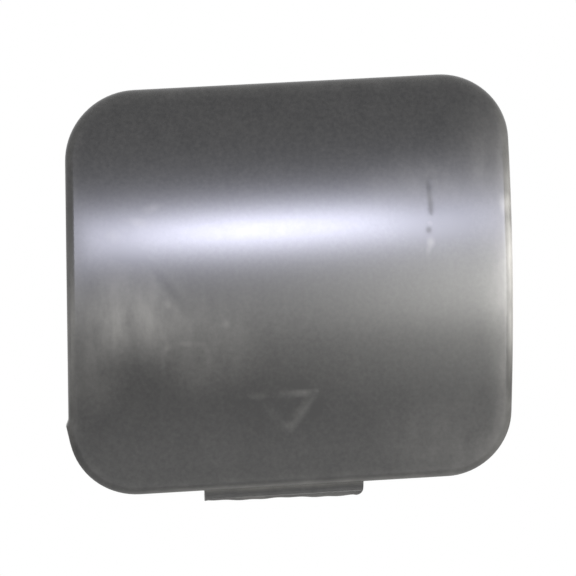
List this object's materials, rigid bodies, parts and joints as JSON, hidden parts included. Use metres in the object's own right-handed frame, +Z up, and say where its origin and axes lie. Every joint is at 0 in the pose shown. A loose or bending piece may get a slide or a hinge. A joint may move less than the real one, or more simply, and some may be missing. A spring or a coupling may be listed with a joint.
{
  "type": "bumper tow hook cover",
  "caption": "Bowed rounded-square plastic cover that snaps into a bumper over the towing eye's opening, with a tongue below, snap hooks behind and a raised triangle mark.",
  "frame": {"origin": "middle of the bumper's opening, level with the bumper's outer surface, at the crown of the cover's face", "axes": "+X along the bumper, to the right as seen from the front; +Y into the bumper; +Z up"},
  "size_m": [0.0824, 0.0249, 0.0758],
  "materials": {
    "bumper_plastic": "satin dark grey moulded polypropylene, unpainted, lightly wiped and scratched"
  },
  "bodies": {
    "root": {"tow_hook_cover": "bumper_plastic"}
  },
  "joints": []
}
